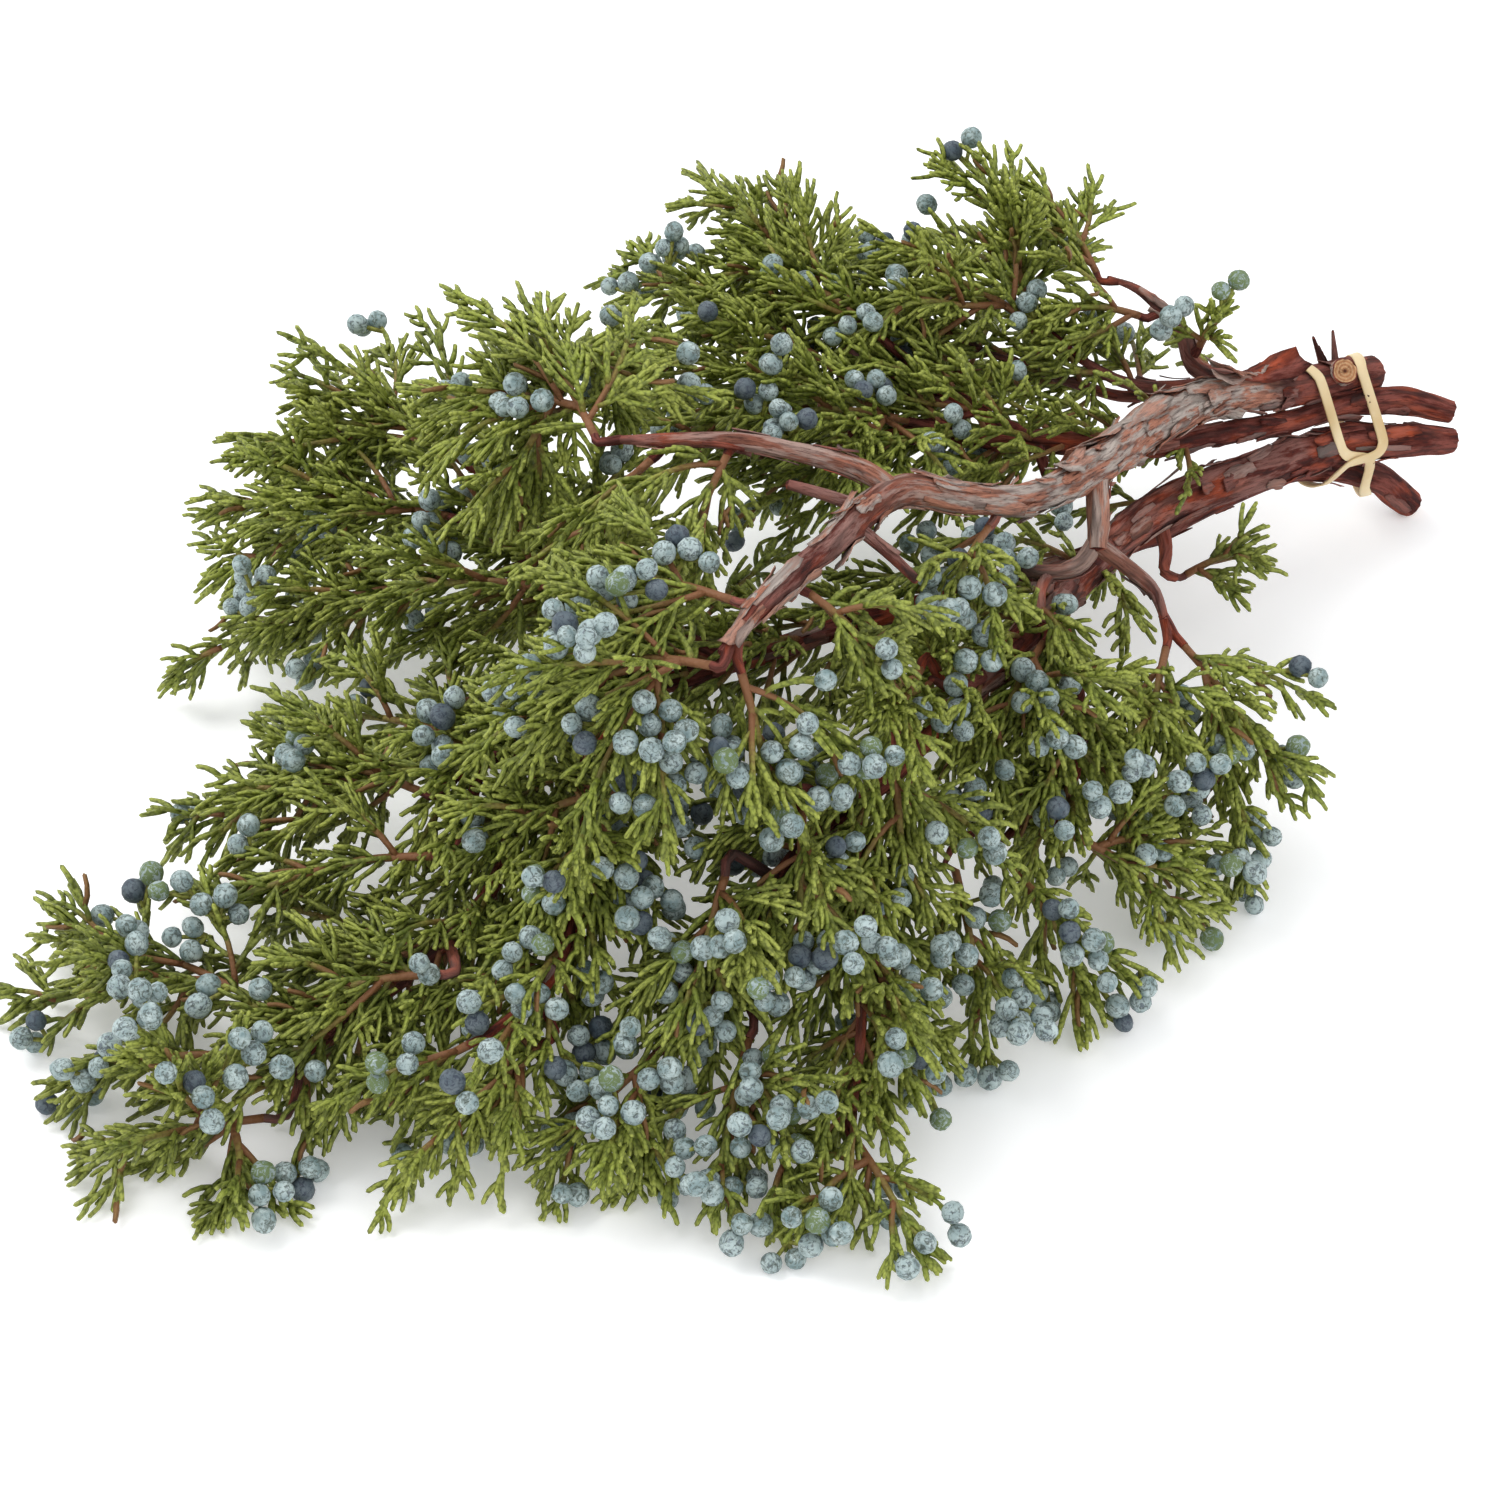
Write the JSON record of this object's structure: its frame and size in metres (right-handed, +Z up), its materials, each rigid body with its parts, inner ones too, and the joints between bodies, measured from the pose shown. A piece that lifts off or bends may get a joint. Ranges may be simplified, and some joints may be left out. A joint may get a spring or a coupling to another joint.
{
  "type": "juniper berry bunch",
  "caption": "Bunch of cut juniper branches with scale-leaf sprays and blue berries, tied by a rubber band near the cut ends and lying on its side.",
  "frame": {"origin": "centre of the bounding box's bottom face, on the surface that the bunch lies on", "axes": "+X along the stems to the cut ends, the longest extent; +Z up, the shortest extent; +Y to the back"},
  "size_m": [0.632, 0.4806, 0.1748],
  "materials": {
    "bark": "rough peeling bark, grey-pink flakes over red-brown",
    "red_bark": "rough dark red-brown bark",
    "scale_leaf": "cord-like scale leaves on thin woody twigs, with waxy blue berries",
    "latex": "matt cream rubber"
  },
  "bodies": {
    "root": {"back_stem": "bark", "lower_stem": "red_bark", "middle_stem": "red_bark", "rubber_band": "latex", "short_stem": "red_bark", "spray_arch_1": "scale_leaf", "spray_arch_2": "scale_leaf", "spray_arch_3": "scale_leaf", "spray_back_1": "scale_leaf", "spray_back_2": "scale_leaf", "spray_back_3": "scale_leaf", "spray_back_4": "scale_leaf", "spray_back_5": "scale_leaf", "spray_back_6": "scale_leaf", "spray_front_1": "scale_leaf", "spray_front_10": "scale_leaf", "spray_front_11": "scale_leaf", "spray_front_2": "scale_leaf", "spray_front_3": "scale_leaf", "spray_front_4": "scale_leaf", "spray_front_5": "scale_leaf", "spray_front_6": "scale_leaf", "spray_front_7": "scale_leaf", "spray_front_8": "scale_leaf", "spray_front_9": "scale_leaf", "spray_hidden_1": "scale_leaf", "spray_hidden_2": "scale_leaf", "spray_hidden_3": "scale_leaf", "spray_left_1": "scale_leaf", "spray_left_2": "scale_leaf", "spray_left_3": "scale_leaf", "spray_left_4": "scale_leaf", "spray_lowleft_1": "scale_leaf", "spray_lowleft_2": "scale_leaf", "spray_lowleft_3": "scale_leaf", "spray_lowleft_4": "scale_leaf", "spray_lowleft_5": "scale_leaf", "spray_midleft_1": "scale_leaf", "spray_midleft_2": "scale_leaf", "spray_midleft_3": "scale_leaf", "spray_right_1": "scale_leaf", "spray_right_2": "scale_leaf", "spray_right_3": "scale_leaf", "spray_right_4": "scale_leaf", "spray_right_5": "scale_leaf", "spray_right_6": "scale_leaf", "spray_right_7": "scale_leaf", "spray_right_8": "scale_leaf", "spray_top_1": "scale_leaf", "spray_top_2": "scale_leaf", "spray_top_3": "scale_leaf", "spray_top_4": "scale_leaf", "spray_top_5": "scale_leaf", "spray_upper_1": "scale_leaf", "spray_upper_2": "scale_leaf", "spray_upper_3": "scale_leaf", "spray_upper_4": "scale_leaf", "spray_upper_5": "scale_leaf", "upper_stem": "bark"}
  },
  "joints": []
}
